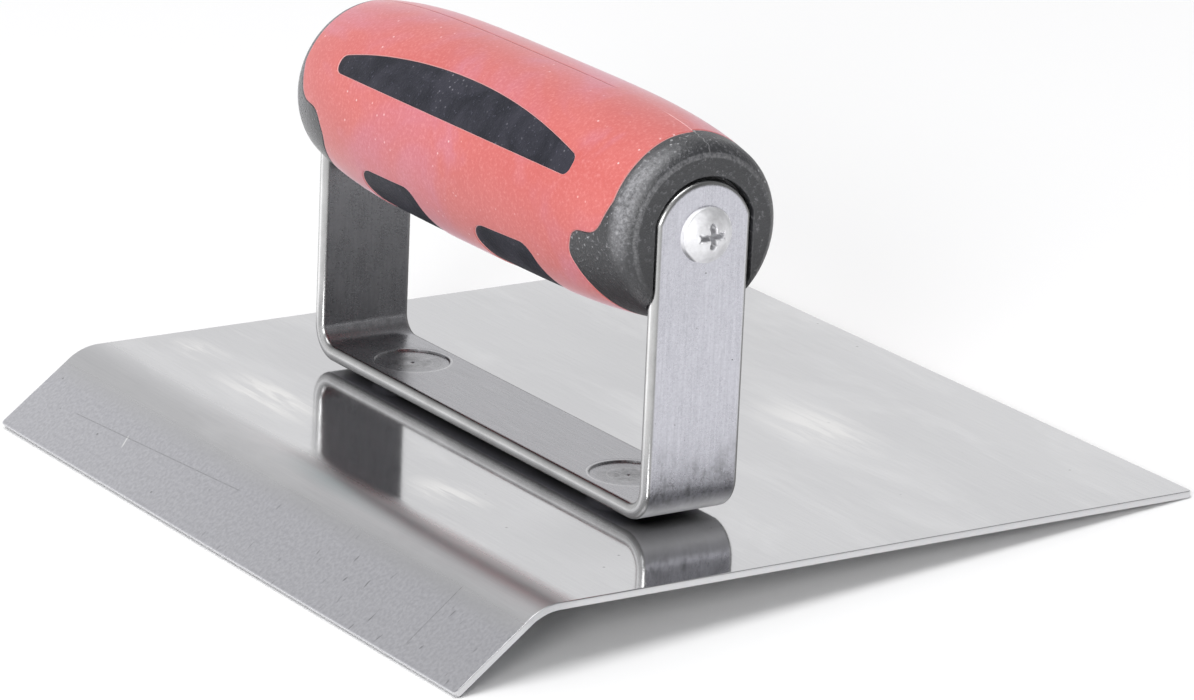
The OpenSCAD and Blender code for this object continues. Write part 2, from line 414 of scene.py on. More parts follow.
def bracket(material):
    half = STRAP_W / 2
    bend_from, bend_to = BASE_HALF, BASE_HALF + BEND_ARC
    first = math.acos(half / TIP_R)
    arc_at = TIP_AT - TIP_DROP
    tip_from = arc_at + TIP_R * math.sin(first)
    rows = np.concatenate([spread(0, bend_from, 1.5)[:-1], spread(bend_from, bend_to, 0.45)[:-1],
                           spread(bend_to, tip_from, 1.5)])
    rows = np.concatenate([-rows[:0:-1], rows])
    tip = np.linspace(first, math.pi - first, 41)[1:-1]
    outline = [(half, s) for s in rows]
    outline += [(TIP_R * math.cos(t), arc_at + TIP_R * math.sin(t)) for t in tip]
    outline += [(-half, s) for s in rows[::-1]]
    outline += [(-TIP_R * math.cos(t), -arc_at - TIP_R * math.sin(t)) for t in tip]
    chain = turned(np.array(outline, float))
    grid = lattice(spread(-half, half, 1.5), rows)
    holes = [turned(circle((0, side * TIP_AT), HOLE_R, 40), hole=True) for side in (-1, 1)]

    marks = [(0, side * WELD_PITCH / 2) for side in (-1, 1)]
    near = np.min([np.hypot(*(grid - m).T) for m in marks], axis=0)
    radii = [0.15, 0.3, 0.5, 1, 2, 3, 4, 5, 5.8, 6.3] + [MARK_R + d for d in np.linspace(-0.3, 1.0, 14)]
    mark_rings = [circle(m, r, 12 if r < 0.6 else 36 if r < 3 else 110) for m in marks for r in radii]
    boss_rings = [circle(m, r, 60) for m in marks for r in BOSS_R + np.linspace(-0.3, 2.1, 9)]
    top_grid = np.vstack([grid[near > MARK_R + 1.4], *mark_rings, *np.array(marks)[:, None]])
    low_grid = np.vstack([grid[(near > BOSS_R + 2.4) | (near < BOSS_R - 0.8)], *boss_rings])

    def top(w, s, depth):
        sunk = pressed_in(w, s) if abs(s) < BASE_HALF else 0
        return on_strap(w, s, STRAP_T - depth - sunk)

    def low(w, s, depth):
        out = pressed_out(w, s) if abs(s) < BASE_HALF else 0
        return on_strap(w, s, depth - out)

    solid = Solid()
    walls = []
    for place, points, clear, thick in ((low, low_grid, 0.5, STRAP_T), (top, top_grid, 0.08, None)):
        solid.thick = thick
        wall, face = solid.rounded_edge(place, chain, STRAP_EDGE_R, steps=5)
        hole_edges = [solid.rounded_edge(place, hole, 0.2, steps=2) for hole in holes]
        solid.fill(place, [face] + [edge for _, edge in hole_edges], points, clear=clear)
        walls.append([wall] + [w for w, _ in hole_edges])
    crown = 0.12
    middle = solid.ring(on_strap, offset(chain, -crown), STRAP_T / 2)
    solid.bridge(walls[0][0], middle)
    solid.bridge(middle, walls[1][0])
    for outer, inner in zip(walls[0][1:], walls[1][1:]):
        solid.bridge(outer, inner)
    return solid.finish("strap_bracket", "strap_steel", "bracket", material)


# Grip ------------------------------------------

TURN = math.pi * GRIP_MID_R
PARTING_U = 0.9
GROOVE_U = 0.3
FINGERS_AT = 18.3


def barrel_r(y):
    return GRIP_MID_R - (GRIP_MID_R - GRIP_END_R) * (abs(y) / GRIP_HALF) ** 4


def barrel_slope(y):
    return -4 * (GRIP_MID_R - GRIP_END_R) * abs(y) ** 3 / GRIP_HALF ** 4


def rim_start():
    """Where the rim's arc leaves the barrel without a kink: the distance from the middle and the angle."""
    angle = 0.0
    for _ in range(20):
        at = GRIP_HALF - CAP_RIM_R * (1 - math.sin(angle))
        angle = math.atan(-barrel_slope(at))
    return at, angle


RIM_AT, RIM_ANGLE = rim_start()
RIM_CENTRE_R = barrel_r(RIM_AT) - CAP_RIM_R * math.cos(RIM_ANGLE)
CREST_ANGLE = math.asin((CAP_RIM_R - FACE_CUT - CREST_R) / (CAP_RIM_R - CREST_R))
CREST_CENTRE_R = RIM_CENTRE_R + (CAP_RIM_R - CREST_R) * math.cos(CREST_ANGLE)
CREST_AT = RIM_AT + CAP_RIM_R * (CREST_ANGLE - RIM_ANGLE)
FACE_AT = CREST_AT + CREST_R * (math.pi / 2 - CREST_ANGLE)


def meridian(v):
    """The barrel's side: radius, distance along the grip, and the outward normal's two parts."""
    run = abs(v)
    if run <= RIM_AT:
        slope = barrel_slope(run)
        length = math.hypot(1, slope)
        r, y, out, along = barrel_r(run), run, 1 / length, -slope / length
    elif run <= CREST_AT:
        angle = RIM_ANGLE + (run - RIM_AT) / CAP_RIM_R
        out, along = math.cos(angle), math.sin(angle)
        r = RIM_CENTRE_R + CAP_RIM_R * out
        y = GRIP_HALF - CAP_RIM_R + CAP_RIM_R * along
    elif run <= FACE_AT:
        angle = CREST_ANGLE + (run - CREST_AT) / CREST_R
        out, along = math.cos(angle), math.sin(angle)
        r = CREST_CENTRE_R + CREST_R * out
        y = GRIP_HALF - FACE_CUT - CREST_R + CREST_R * along
    else:
        r, y, out, along = CREST_CENTRE_R - (run - FACE_AT), GRIP_HALF - FACE_CUT, 0.0, 1.0
    return r, math.copysign(y, v), out, math.copysign(along, v)


def on_grip(u, v, depth):
    """The grip's outer surface: u runs round it from the top and v along it from the middle."""
    r, y, out, along = meridian(v)
    r -= depth * out
    y -= depth * along
    angle = u / GRIP_MID_R
    return r * math.sin(angle), BRACKET_Y + y, GRIP_Z + r * math.cos(angle)


def run_at(x, z, end):
    """The surface coordinates of a point on a cap's face or rim, x across and z up from the axis."""
    r = math.hypot(x, z)
    if r <= CREST_CENTRE_R:
        v = FACE_AT + CREST_CENTRE_R - r
    elif r <= CREST_CENTRE_R + CREST_R * math.cos(CREST_ANGLE):
        v = CREST_AT + (math.acos((r - CREST_CENTRE_R) / CREST_R) - CREST_ANGLE) * CREST_R
    else:
        v = RIM_AT + (math.acos(min((r - RIM_CENTRE_R) / CAP_RIM_R, 1)) - RIM_ANGLE) * CAP_RIM_R
    return math.atan2(x, z) * GRIP_MID_R, end * v


def window(outline, side, turn):
    """A window's outline on the surface, at a turn in degrees, from one up round the grip and along it."""
    found = []
    for w, along in outline:
        v = SLEEVE_SHIFT + along
        angle = math.radians(turn) - math.asin(w / barrel_r(v))
        found.append((side * angle * GRIP_MID_R, v))
    return np.array(found)


def palm_outline():
    arch = [(4.25 - 4.9 * t * t - 0.25 * t, 36.8 * t) for t in np.linspace(-1, 1, 25)]
    points = [(-4.05, -36.8)] + arch + [(-4.05, 36.8)]
    return rounded(points, [1.5, 1.5] + [0] * 23 + [1.5, 1.5])


def finger_outline(shift):
    points = [(7, shift - 8.4), (6.4, shift + 10.4), (-7.4, shift + 10.4), (-7.4, shift - 11.2)]
    return rounded(points, [2.6, 5.4, 4, 4])


def windows(widened=0.0):
    """Every window's outline as a hole, widened by a distance."""
    found = []
    for side in (-1, 1):
        outlines = [window(palm_outline(), side, turn=52)]
        outlines += [window(finger_outline(end * FINGERS_AT), side, turn=137) for end in (-1, 1)]
        for outline in outlines:
            chain = turned(resampled(outline, 0.5, closed=True), hole=True)
            found.append(offset(chain, widened))
    return found


def sleeve_edge(end, step):
    """Where the sleeve meets an end cap, from the bottom all the way round: a ring with two tongues."""
    root = SLEEVE_LEN / 2
    tongue = [(root, 20), (root, 6), (root - 2.4, -0.1), (root - 8.3, -0.6), (root - 9.8, -5),
              (root - 4.8, -14.6), (root, -17.5)]
    side = resampled(rounded(tongue, [0, 1.5, 3.5, 2.6, 3, 4, 0], closed=False), 0.1)
    found = []
    for along, up in side:
        v = SLEEVE_SHIFT + end * along
        r = barrel_r(v)
        if up >= r:
            continue
        if up <= -r:
            break
        found.append((math.acos(up / r) * GRIP_MID_R, v))
    top = (0, SLEEVE_SHIFT + end * root)
    half = resampled([top] + found + [(TURN, found[-1][1])], step)
    ring = np.vstack([half[:0:-1] * (-1, 1), half])
    if end < 0:
        at = np.searchsorted(ring[:, 0], PARTING_U)
        corners = [(PARTING_U + d, top[1]) for d in (-0.06, 0.06)]
        ring = np.insert(ring, [at, at], corners, axis=0)
        ring[:, 1] += [parting_step(u) for u in ring[:, 0]]
    return ring


def parting_step(u):
    """How far back the front edge sits near the top, with a small step where the mould's halves met."""
    halves = 0.35 + 0.55 * smooth(PARTING_U - 0.06, PARTING_U + 0.06, u)
    return halves * (1 - smooth(3, 14, abs(u)))


def near_step(u, r):
    """An edge's rounding, which is smaller at the step."""
    return r * (1 - 0.7 * math.exp(-((u - PARTING_U) / 0.5) ** 2))


def round_loop(solid, place, front, rear, depth=0.0):
    """The loop round an unrolled band: its front edge, the seam, its rear edge and the seam again."""
    ups = spread(front[0][-1][1], rear[0][0][1], 1.5)[1:-1]
    right = np.array([(TURN, v) for v in ups])
    left = np.array([(-TURN, v) for v in ups[::-1]])
    chain = np.vstack([front[0], right, rear[0], left])
    ring = front[1] + solid.ring(place, right, depth) + rear[1] + solid.ring(place, left, depth)
    return chain, ring


def on_sleeve(u, v, depth):
    """The sleeve's surface: along its top a shallow groove, and a low ridge near the front end."""
    groove = 0.07 * math.exp(-((u - GROOVE_U) / 0.12) ** 2) * smooth(-26, -24, v)
    ridge = 0.05 * math.exp(-((u - PARTING_U) / 0.12) ** 2) * smooth(-38, -41, v)
    return on_grip(u, v, depth + groove - ridge)


def sleeve(material):
    edge_r = 0.3
    solid = Solid()
    front = sleeve_edge(-1, 0.5)
    rear = sleeve_edge(1, 0.5)[::-1]
    front_r = [near_step(u, edge_r) for u in front[:, 0]]
    front_wall, front_face = solid.rounded_edge(on_grip, front, front_r, closed=False, steps=3)
    rear_wall, rear_face = solid.rounded_edge(on_grip, rear, edge_r, closed=False, steps=3)
    holes = windows()
    edges = [solid.rounded_edge(on_grip, hole, edge_r, steps=3) for hole in holes]
    outer = round_loop(solid, on_grip, front_face, rear_face)
    columns = spread(-TURN, TURN, 1.0)
    line = np.concatenate([GROOVE_U + np.linspace(-0.3, 0.3, 7), PARTING_U + np.linspace(-0.2, 0.3, 6)])
    columns = np.concatenate([columns[(columns < -0.4) | (columns > 1.6)], line])
    grid = lattice(columns, spread(-GRIP_HALF, GRIP_HALF, 1.0))
    solid.fill(on_sleeve, [outer] + [face for _, face in edges], grid, clear=0.4)

    front_low = solid.ring(on_grip, front, SLEEVE_T)
    rear_low = solid.ring(on_grip, rear, SLEEVE_T)
    solid.bridge(front_wall, front_low, closed=False)
    solid.bridge(rear_wall, rear_low, closed=False)
    lows = []
    for hole, (wall, _) in zip(holes, edges):
        low = solid.ring(on_grip, hole, SLEEVE_T)
        solid.bridge(wall, low)
        lows.append((hole, low))
    inner = round_loop(solid, on_grip, (front, front_low), (rear, rear_low), SLEEVE_T)
    coarse = lattice(spread(-TURN, TURN, 2.5), spread(-GRIP_HALF, GRIP_HALF, 4))
    solid.fill(on_grip, [inner] + lows, coarse, SLEEVE_T, clear=1.5)
    return solid.finish("grip_sleeve_moulding", "soft_sleeve", "grip_sleeve", material)


def round_axis(u, v, r):
    """The place at a radius from the grip's axis, for bores and spigots."""
    angle = u / GRIP_MID_R
    return r * math.sin(angle), BRACKET_Y + v, GRIP_Z + r * math.cos(angle)


def lathe(solid, ring, profile, end, turns):
    """Goes on from a ring through others, each a radius and a distance from the middle."""
    for r, y in profile:
        last, ring = ring, solid.ring(round_axis, [(u, end * y) for u in turns], r)
        solid.bridge(last, ring, closed=False)
    return ring


def core(material):
    overlap = 0.06
    edge_r = 0.25
    solid = Solid()
    lows = []
    for hole in windows(overlap):
        pad = hole[::-1]
        wall, face = solid.rounded_edge(on_grip, pad, edge_r, depth=PAD_DROP, steps=3)
        middle = lattice(*(spread(values.min(), values.max(), 1.0) for values in pad.T))
        solid.fill(on_grip, [face], middle, PAD_DROP, clear=0.4)
        low = solid.ring(on_grip, pad, SLEEVE_T)
        solid.bridge(wall, low)
        lows.append((pad, low))
    across = spread(-TURN, TURN, 2.5)
    ends = []
    for end in (-1, 1):
        chain = np.array([(end * -u, end * CORE_HALF) for u in across])
        ends.append((chain, solid.ring(on_grip, chain, SLEEVE_T)))
    band = round_loop(solid, on_grip, ends[0], ends[1], SLEEVE_T)
    coarse = lattice(across[1:-1], spread(-CORE_HALF, CORE_HALF, 4))
    solid.fill(on_grip, [band] + lows, coarse, SLEEVE_T, clear=1.5)
    bore_end = SPAN / 2 - SCREW_LEN - 1
    profile = [(SPIGOT_R, CORE_HALF), (SPIGOT_R, SPIGOT_END), (THREAD_R, SPIGOT_END),
               (THREAD_R, bore_end), (0, bore_end)]
    for end, (chain, ring) in zip((-1, 1), ends):
        lathe(solid, ring, profile, end, chain[:, 0])
    return solid.finish("grip_core_moulding", "core_plastic", "grip_core", material)


def recess_edge(end):
    """The edge of the recess for the strap's tip, from the bottom round the top to the bottom."""
    sides = [resampled(recess_side(side), 0.4) * (side, 1) for side in (-1, 1)]
    ring = np.vstack([sides[0][:0:-1], sides[1]])
    return ring, np.array([run_at(x, z, end) for x, z in ring])


def recess_side(side):
    """Half of that edge, from the top down one side to the bottom, each point sideways and up."""
    r = TIP_R + TIP_GAP
    off = side * RECESS_OFF
    room = STRAP_W / 2 + TIP_GAP + off
    seat_angle = math.asin((SEAT - GRIP_HALF + CAP_RIM_R) / CAP_RIM_R)
    rim_r = RIM_CENTRE_R + CAP_RIM_R * math.cos(seat_angle)
    low = -math.sqrt(rim_r * rim_r - room * room)
    first = math.asin(-off / r)
    last = math.asin((room - off) / r)
    half = [(off + r * math.sin(t), r * math.cos(t) - TIP_DROP) for t in np.linspace(first, last, 40)]
    half += [(room, z) for z in np.linspace(half[-1][1], low, 20)[1:]]
    start = math.atan2(room, low)
    return half + [(rim_r * math.sin(t), rim_r * math.cos(t)) for t in np.linspace(start, math.pi, 20)[1:]]


def end_cap(end, name, node, material):
    gap = 0.06
    solid = Solid()
    edge = sleeve_edge(end, 0.4) + (0, end * gap)
    flat, top = recess_edge(end)
    top[0][0], top[-1][0] = -TURN, TURN
    heights = np.abs(np.array([on_grip(u, v, 0)[1] - BRACKET_Y for u, v in top])) - SEAT
    recess_r = 0.35 * np.clip(heights / 0.8, 0, 1)
    edge_r = np.array([near_step(u, 0.25) for u in edge[:, 0]])
    (low, low_r), (high, high_r) = [(edge, edge_r), (top, recess_r)][::end]
    low_wall, low_face = solid.rounded_edge(on_grip, low, low_r, closed=False, steps=3)
    high_wall, high_face = solid.rounded_edge(on_grip, high[::-1], high_r[::-1], closed=False, steps=3)
    loop = round_loop(solid, on_grip, low_face, high_face)
    rows = np.concatenate([spread(30, RIM_AT, 0.9), spread(RIM_AT, CREST_AT, 0.4)[1:],
                           spread(CREST_AT, FACE_AT, 0.1)[1:], spread(FACE_AT, 70, 1.0)[1:]])
    grid = lattice(spread(-TURN, TURN, 0.7), end * rows)
    solid.fill(on_grip, [loop], grid, clear=0.3)

    edge_wall, recess_wall = [low_wall, high_wall[::-1]][::end]
    under = solid.ring(on_grip, edge, SLEEVE_T)
    neck = solid.ring(on_grip, edge * (1, 0) + (0, end * CORE_HALF), SLEEVE_T)
    solid.bridge(edge_wall, under, closed=False)
    solid.bridge(under, neck, closed=False)

    def on_seat(x, z, depth):
        return x, BRACKET_Y + end * (SEAT - depth), GRIP_Z + z

    floor = solid.ring(on_seat, flat)
    solid.bridge(recess_wall, floor, closed=False)
    hole = turned(circle((0, 0), HOLE_R, 48), hole=True)
    hole_ring = solid.ring(on_seat, hole)
    steps = spread(-14, 14, 2)
    solid.fill(on_seat, [(flat[:-1], floor[:-1]), (hole, hole_ring)], lattice(steps, steps))
    profile = [(SPIGOT_R, CORE_HALF), (SPIGOT_R, SPIGOT_END), (HOLE_R, SPIGOT_END)]
    bore = lathe(solid, neck, profile, end, edge[:, 0])
    join_bore(solid, bore, edge[:, 0] / GRIP_MID_R, hole_ring, hole)
    return solid.finish(name, "cap_plastic", node, material)


def join_bore(solid, ring, angles, hole_ring, hole):
    """Joins a ring of points at given angles round the axis with the seat's hole."""
    hole_angles = np.arctan2(hole[:, 0], hole[:, 1])
    turns = [np.abs(np.angle(np.exp(1j * (hole_angles - t)))) for t in angles]
    nearest = [hole_ring[int(np.argmin(turn))] for turn in turns]
    for a, b, c, d in zip(ring, ring[1:], nearest[1:], nearest):
        solid.faces.append((a, b, c) if c == d else (a, b, c, d))


# Screws ----------------------------------------

def screws(material):
    solid = Solid()
    for side in (-1, 1):
        screw(solid, side)
    return solid.finish("handle_screw_pair", "screw_steel", "handle_screws", material)


def screw(solid, side):
    """A round-head screw with a worn cross recess, its head outwards on the +Y side or the -Y side."""
    dome_h = HEAD_H - HEAD_RIM
    dome_r = (HEAD_R ** 2 + dome_h ** 2) / (2 * dome_h)
    turned_by = math.radians(3 if side < 0 else 51)

    def place(x, y, out):
        off = HEAD_OFF if out > 0 else 0
        return x + off, BRACKET_Y + side * (SPAN / 2 + out), GRIP_Z + y

    def dome(x, y):
        return HEAD_RIM + dome_h - (dome_r - math.sqrt(dome_r ** 2 - x * x - y * y))

    def height(x, y):
        r = math.hypot(x, y)
        a = x * math.cos(turned_by) + y * math.sin(turned_by)
        b = -x * math.sin(turned_by) + y * math.cos(turned_by)
        wear = 0.2 * math.sin(5.1 * a + 1.3) * math.cos(4.3 * b)
        arm = min(max(abs(a) - 2.25, (abs(b) - 0.42) * 0.9), max(abs(b) - 2.05, (abs(a) - 0.45) * 0.9))
        cut = smooth(0.16, -0.24, arm + wear * smooth(0.6, 2.0, r))
        burr = 0.06 * math.exp(-((arm - 0.22) / 0.14) ** 2) * (1 + math.sin(7 * a + 3 * b))
        depth = 1.5 - 0.2 * r
        return dome(x, y) - cut * depth + burr * smooth(3.2, 1.2, r)

    angles = np.arange(120) * 2 * math.pi / 120
    rings = []

    def add(r, out):
        """A ring at a radius and a distance out of the strap, which may both vary round it."""
        start = len(solid.points)
        for x, y, z in zip(r * np.cos(angles), r * np.sin(angles), np.broadcast_to(out, len(angles))):
            solid.points.append(place(x, y, z))
            solid.marks.append((x, y, dome(x, y) - z))
        rings.append(list(range(start, len(solid.points))))

    rim_round = 0.25
    dome_end = HEAD_R - rim_round
    for r in [0.05, *np.arange(0.15, 3.2, 0.1), *np.linspace(3.2, dome_end, 8)]:
        add(r, [height(r * math.cos(t), r * math.sin(t)) for t in angles])
    edge_top = height(dome_end, 0)
    for turn in np.linspace(0, math.pi / 2, 5)[1:]:
        add(dome_end + rim_round * math.sin(turn), edge_top - rim_round * 1.2 * (1 - math.cos(turn)))
    add(HEAD_R, 0)
    add(THREAD_R, 0)
    threaded = SCREW_LEN - 3
    for down in np.arange(0.15, SCREW_LEN - 0.1, 0.15):
        phase = (down / THREAD_PITCH - angles / (2 * math.pi)) % 1 * 2 - 1
        ridge = np.maximum(0, 1 - abs(phase) / 0.6) * min(1, down / 2) * (1 if down < threaded else 0.5)
        taper = 1 - max(0, (down - threaded) / 3) ** 1.5
        add(np.maximum((THREAD_ROOT_R + (THREAD_R - THREAD_ROOT_R) * ridge) * taper, 0.1), -down)
    for a, b in zip(rings, rings[1:]):
        solid.bridge(a, b)
    solid.faces.append(tuple(rings[0][::-1]))
    solid.faces.append(tuple(rings[-1]))


# Materials -------------------------------------

class Value:
    """A value, colour or vector in a node tree. Whatever is done with it adds the nodes for that."""

    def __init__(self, tree, socket):
        self.tree = tree
        self.socket = socket

    def math(self, operation, other=0.0):
        return make(self.tree, "Math", {0: self, 1: other}, operation=operation)

    def __add__(self, other):
        return self.math("ADD", other)

    def __sub__(self, other):
        return self.math("SUBTRACT", other)

    def __mul__(self, other):
        return self.math("MULTIPLY", other)

    def __abs__(self):
        return self.math("ABSOLUTE")

    def span(self, low, high, out_low=0.0, out_high=1.0, **settings):
        """The value carried over from one range to another, without leaving that."""
        inputs = {"Value": self, "From Min": low, "From Max": high, "To Min": out_low, "To Max": out_high}
        return make(self.tree, "MapRange", inputs, **settings)

    def mm(self, low, high, *out):
        """The same for a length, from a range in millimetres."""
        return self.span(low * MM, high * MM, *out)

    def mix(self, a, b, blend="MIX"):
        """The first colour where the value is zero and the second where it is one."""
        return make(self.tree, "Mix", {0: self, 6: a, 7: b}, 2, data_type="RGBA", blend_type=blend)

    def ramp(self, *stops):
        """A grey that follows the value: each stop is a position, a level and perhaps a tint."""
        made = make(self.tree, "ValToRGB", {0: self})
        elements = made.socket.node.color_ramp.elements
        elements[-1].position = stops[-1][0]
        for position, *_ in stops[1:-1]:
            elements.new(position)
        for element, (_, *level) in zip(elements, stops):
            element.color = grey(*level)
        return made

    def noise(self, scale, detail=2.0, rough=0.5, twist=0.0):
        inputs = {"Scale": scale, "Detail": detail, "Roughness": rough, "Distortion": twist}
        return make(self.tree, "TexNoise", {"Vector": self, **inputs})

    def cells(self, scale):
        return make(self.tree, "TexVoronoi", {"Vector": self, "Scale": scale})

    def length(self):
        return make(self.tree, "VectorMath", {0: self}, "Value", operation="LENGTH")

    def bump(self, distance, strength, under=None):
        """A normal for relief of this height, over another normal."""
        inputs = {"Height": self, "Distance": distance, "Strength": strength}
        if under is not None:
            inputs["Normal"] = under
        return make(self.tree, "Bump", inputs)


def make(tree, kind, inputs=(), output=0, **settings):
    """Adds a node, with numbers or other nodes' outputs on its inputs, and gives one of its outputs."""
    node = tree.nodes.new("ShaderNode" + kind)
    for key, value in settings.items():
        setattr(node, key, value)
    for key, value in dict(inputs).items():
        if isinstance(value, Value):
            tree.links.new(value.socket, node.inputs[key])
        else:
            node.inputs[key].default_value = value
    return Value(tree, node.outputs[output])


def grey(value, tint=0.0):
    """A grey that leans to blue by a tint."""
    return value, value, value * (1 + tint), 1


def band(value, low, high, soft):
    """One between two millimetre values and zero outside them."""
    return value.mm(low - soft, low) * value.mm(high + soft, high)


class Paint:
    """A Principled material, and the values that tell the places on a piece apart, in metres.

    u and v are the surface's two values, depth the third, and space is the place in the row frame.
    """

    def __init__(self, name, **values):
        self.material = bpy.data.materials.new(name)
        self.material.use_nodes = True
        self.tree = self.material.node_tree
        self.shader = self.tree.nodes["Principled BSDF"]
        for socket, value in values.items():
            self.shader.inputs[socket.replace("_", " ")].default_value = value
        self.space = make(self.tree, "TexCoord", (), "Object")
        self.marks = make(self.tree, "Attribute", (), "Vector", attribute_name="surface")
        self.u, self.v, self.depth = (make(self.tree, "SeparateXYZ", {0: self.marks}, k) for k in range(3))

    def finish(self, **inputs):
        for socket, value in inputs.items():
            self.tree.links.new(value.socket, self.shader.inputs[socket.replace("_", " ")])
        return self.material

    def surface(self, across=1, along=1, down=1):
        """The place on the piece's surface, times a scale each way."""
        return make(self.tree, "Mapping", {"Vector": self.marks, "Scale": (across, along, down)})

    def from_weld(self):
        """The distance from the nearer weld."""
        down = abs(self.v) - WELD_PITCH / 2 * MM
        return make(self.tree, "CombineXYZ", {0: self.u, 1: down}).length()

    def line(self, u, half, sway=0.0):
        """A line of a half width at u millimetres across the surface, moved by a sway in metres."""
        return abs(self.u + sway - u * MM).mm(half, 0.3 * half)

    def patch(self, u, v, wide, long):
        """A soft oval on the surface: one in its middle, zero from its rim on."""
        scale = (1 / (wide * MM), 1 / (long * MM), 0)
        inputs = {"Vector": self.marks, "Location": (-u / wide, -v / long, 0), "Scale": scale}
        return make(self.tree, "Mapping", inputs).length().span(1.0, 0.3)

    def stroke(self, start, stop, half):
        """A thin straight mark between two points of the surface."""
        (u0, v0), (u1, v1) = start, stop
        length = math.hypot(u1 - u0, v1 - v0)
        du, dv = (u1 - u0) / length, (v1 - v0) / length
        u, v = self.u - u0 * MM, self.v - v0 * MM
        beside = abs(v * du - u * dv).mm(half, 0.3 * half)
        past = abs(u * du + v * dv - length / 2 * MM)
        return beside * past.mm(length / 2 + 0.3, length / 2 - 0.5)


# Cloudy patches on the blade: x, y, half width, half length and strength.
CLOUDS = ((-27, 36, 7, 19, 0.5), (-27, -23, 6, 12, 0.4), (50, -20, 10, 20, 0.35), (-24.6, 65, 5, 9, 0.4))
# Long scratches: start, stop and strength.
SCRATCHES = (((-53.6, 61.2), (-50.8, 7.1), 0.4), ((-59.2, -57.6), (-46, -57.2), 0.5))


def blade_steel():
    paint = Paint("blade_steel", Metallic=1.0)
    u, v = paint.u, paint.v
    haze = paint.surface(1, 0.3).noise(60, 4, 0.6, 0.5)
    drift = paint.surface(1, 0.6).noise(16, 2, 0.5)
    grain = paint.surface(1, 0.03).noise(2600, 2, 0.6)
    streak = paint.surface(1, 0.1).noise(420, 3, 0.6, 0.3)
    speck = paint.surface().noise(1500, 2, 0.6)
    light = haze.span(0.5, 0.75, 0, 0.6) + drift.span(0.35, 0.65, 0, 0.4)
    light = light + grain.span(0.3, 0.7, -0.12, 0.12)
    colour = light.mix(grey(0.54, 0.02), grey(0.68, 0.01))
    on_lip = u.mm(-46, -50)
    flecks = speck.span(0.36, 0.64).mix(grey(0.53, 0.07), grey(0.68, 0.06))
    colour = (on_lip * 0.7).mix(colour, flecks)
    ticks = paint.surface(0.22).noise(1300, 1, 0.5).span(0.7, 0.76) * on_lip * v.mm(30, -30)
    colour = (ticks * 0.8).mix(colour, grey(0.25, 0.04))
    # A darker patch on the blade near the front end, left of the grip: painted shade.
    colour = (paint.patch(-16, -52, 17, 16) * 0.35).mix(colour, grey(0.44, 0.02))
    for x, y, wide, long, much in CLOUDS:
        cloud = paint.patch(x, y, wide, long) * streak.span(0.42, 0.6, 0.15 * much, 1.6 * much)
        colour = cloud.mix(colour, (0.86, 0.85, 0.83, 1))
    colour = paint.stroke((-52.3, 43.9), (-54.7, 42.8), 0.25).mix(colour, grey(0.95))
    for start, stop, much in SCRATCHES:
        faint = paint.stroke(start, stop, 0.14) * speck.span(0.4, 0.55, 0.3 * much, 1.4 * much)
        colour = faint.mix(colour, grey(0.22))
    pits = paint.surface().cells(170).span(0.05, 0.03) * drift.span(0.5, 0.56)
    colour = (pits * 0.6).mix(colour, grey(0.2))
    # A dark bluish band along the front part of the fold: painted shade standing in for the grip's dark
    # underside reflected there.
    fold_reflection_shade = u.mm(-43.5, -40.5) * u.mm(-37, -39.5) * v.mm(10, -8)
    colour = (fold_reflection_shade * 0.75).mix(colour, (0.32, 0.39, 0.4, 1))
    edge = paint.depth.mm(0.05, 0.13)
    fold = u.mm(-48, -45) * u.mm(-35, -39)
    rough = haze.span(0.3, 0.75, 0.045, 0.11) + speck.span(0.3, 0.7, 0.0, 0.03)
    wave = paint.space.noise(14, 1, 0.4)
    return paint.finish(
        Base_Color=edge.mix(colour, grey(0.66, 0.02)),
        Roughness=rough + fold * 0.3 + edge * 0.25,
        Normal=grain.bump(0.00001, 0.25, wave.bump(0.0004, 0.25)))


# Rings drawn round a weld: radius, half width, level and strength.
WELD_RINGS = ((6.55, 0.16, 0.1, 0.8), (7.0, 0.2, 0.85, 0.5),
              (5.1, 0.14, 0.16, 0.35), (3.6, 0.2, 0.7, 0.25))


